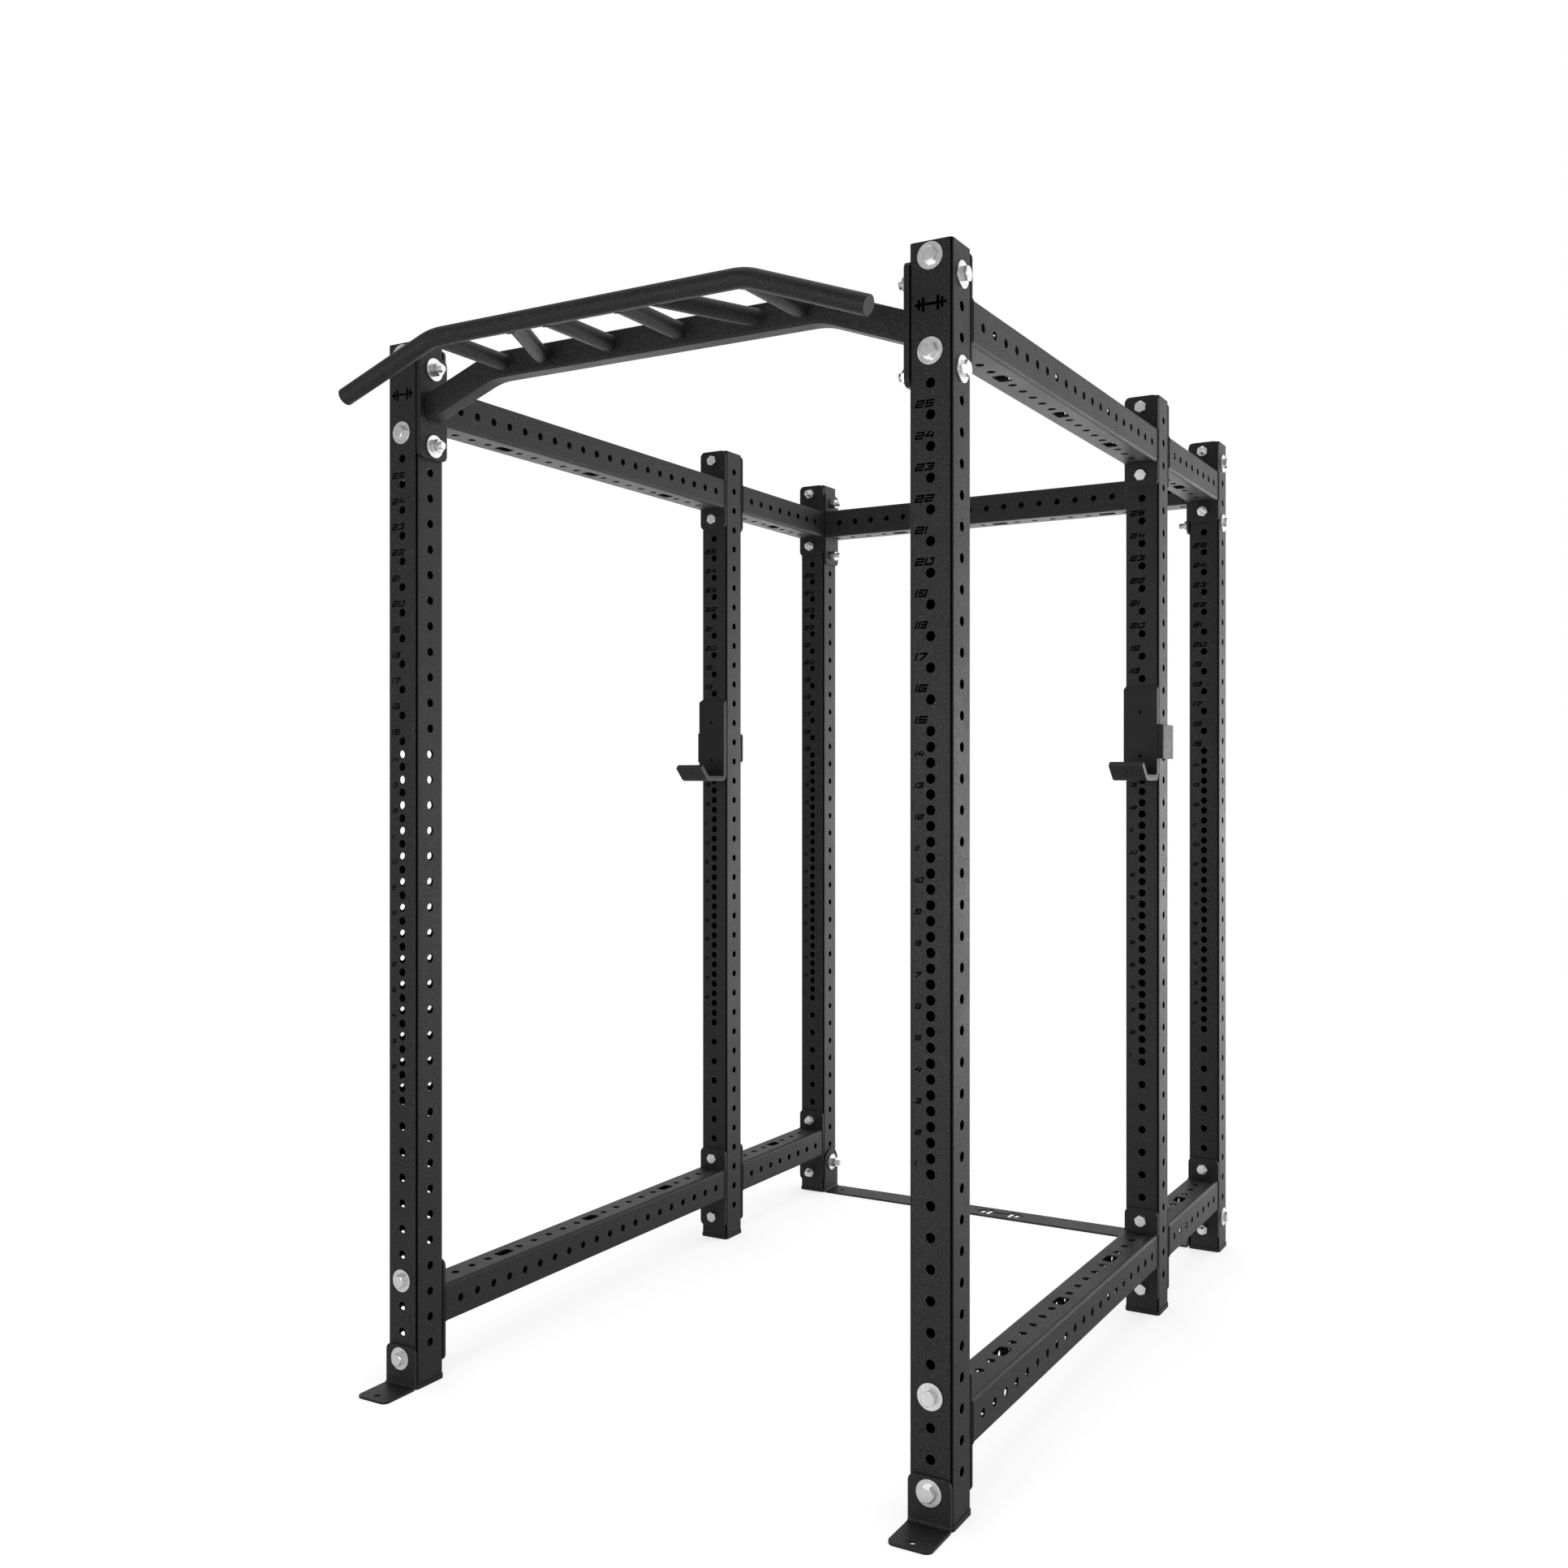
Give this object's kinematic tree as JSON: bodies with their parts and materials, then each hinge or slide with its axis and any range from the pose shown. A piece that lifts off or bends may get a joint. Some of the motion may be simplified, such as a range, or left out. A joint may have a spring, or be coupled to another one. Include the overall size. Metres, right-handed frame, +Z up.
{
  "type": "power cage",
  "caption": "Free-standing strength-training cage of square steel posts with numbered accessory holes, bolted side beams, a multi-grip pull-up bar and sliding barbell cups.",
  "frame": {"origin": "on the floor, under the middle of the whole cage's bounding box", "axes": "+Z up, +Y towards the rear posts, +X to the right as seen from in front, where the pull-up bar is"},
  "size_m": [1.2458, 1.9558, 2.0638],
  "materials": {
    "powder_coat": "matte black powder coat with a fine grain",
    "zinc": "bright zinc plate",
    "black_oxide": "black oxide on steel",
    "black_plastic": "moulded black plastic, lightly textured",
    "liner_plastic": "machined black polyethylene, satin"
  },
  "bodies": {
    "frame": {"foot_bracket_left": "powder_coat", "foot_bracket_right": "powder_coat", "foot_cap_front_left": "black_plastic", "foot_cap_front_right": "black_plastic", "foot_cap_mid_left": "black_plastic", "foot_cap_mid_right": "black_plastic", "foot_cap_rear_left": "black_plastic", "foot_cap_rear_right": "black_plastic", "hex_bolts": "zinc", "hex_nuts": "zinc", "pullup_bar": "powder_coat", "pullup_bar_end_caps": "black_plastic", "pullup_end_plates": "powder_coat", "pullup_grip_1": "powder_coat", "pullup_grip_2": "powder_coat", "pullup_grip_3": "powder_coat", "pullup_grip_4": "powder_coat", "pullup_grip_5": "powder_coat", "pullup_grip_6": "powder_coat", "pullup_rail": "powder_coat", "rear_crossmember": "powder_coat", "rear_crossmember_plates": "powder_coat", "rear_floor_strap": "powder_coat", "rear_side_beam_lower_left": "powder_coat", "rear_side_beam_lower_left_plates": "powder_coat", "rear_side_beam_lower_right": "powder_coat", "rear_side_beam_lower_right_plates": "powder_coat", "rear_side_beam_upper_left": "powder_coat", "rear_side_beam_upper_left_plates": "powder_coat", "rear_side_beam_upper_right": "powder_coat", "rear_side_beam_upper_right_plates": "powder_coat", "side_beam_lower_left": "powder_coat", "side_beam_lower_left_plates": "powder_coat", "side_beam_lower_right": "powder_coat", "side_beam_lower_right_plates": "powder_coat", "side_beam_upper_left": "powder_coat", "side_beam_upper_left_plates": "powder_coat", "side_beam_upper_right": "powder_coat", "side_beam_upper_right_plates": "powder_coat", "top_plugs": "black_plastic", "upright_front_left": "powder_coat", "upright_front_right": "powder_coat", "upright_mid_left": "powder_coat", "upright_mid_right": "powder_coat", "upright_rear_left": "powder_coat", "upright_rear_right": "powder_coat", "washers": "zinc"},
    "jcup_left": {"jcup_band_left": "powder_coat", "jcup_liner_left": "liner_plastic", "jcup_pin_left": "zinc", "jcup_plate_left": "powder_coat", "jcup_screws_left": "black_oxide", "jcup_side_pad_left": "liner_plastic"},
    "jcup_right": {"jcup_band_right": "powder_coat", "jcup_liner_right": "liner_plastic", "jcup_pin_right": "zinc", "jcup_plate_right": "powder_coat", "jcup_screws_right": "black_oxide", "jcup_side_pad_right": "liner_plastic"}
  },
  "joints": [
    {"name": "jcup_left_slide_off", "type": "slide", "parent": "frame", "child": "jcup_left", "axis": [-1, 0, 0], "range_m": [0, 0.1]},
    {"name": "jcup_right_slide_off", "type": "slide", "parent": "frame", "child": "jcup_right", "axis": [1, 0, 0], "range_m": [0, 0.1]}
  ]
}
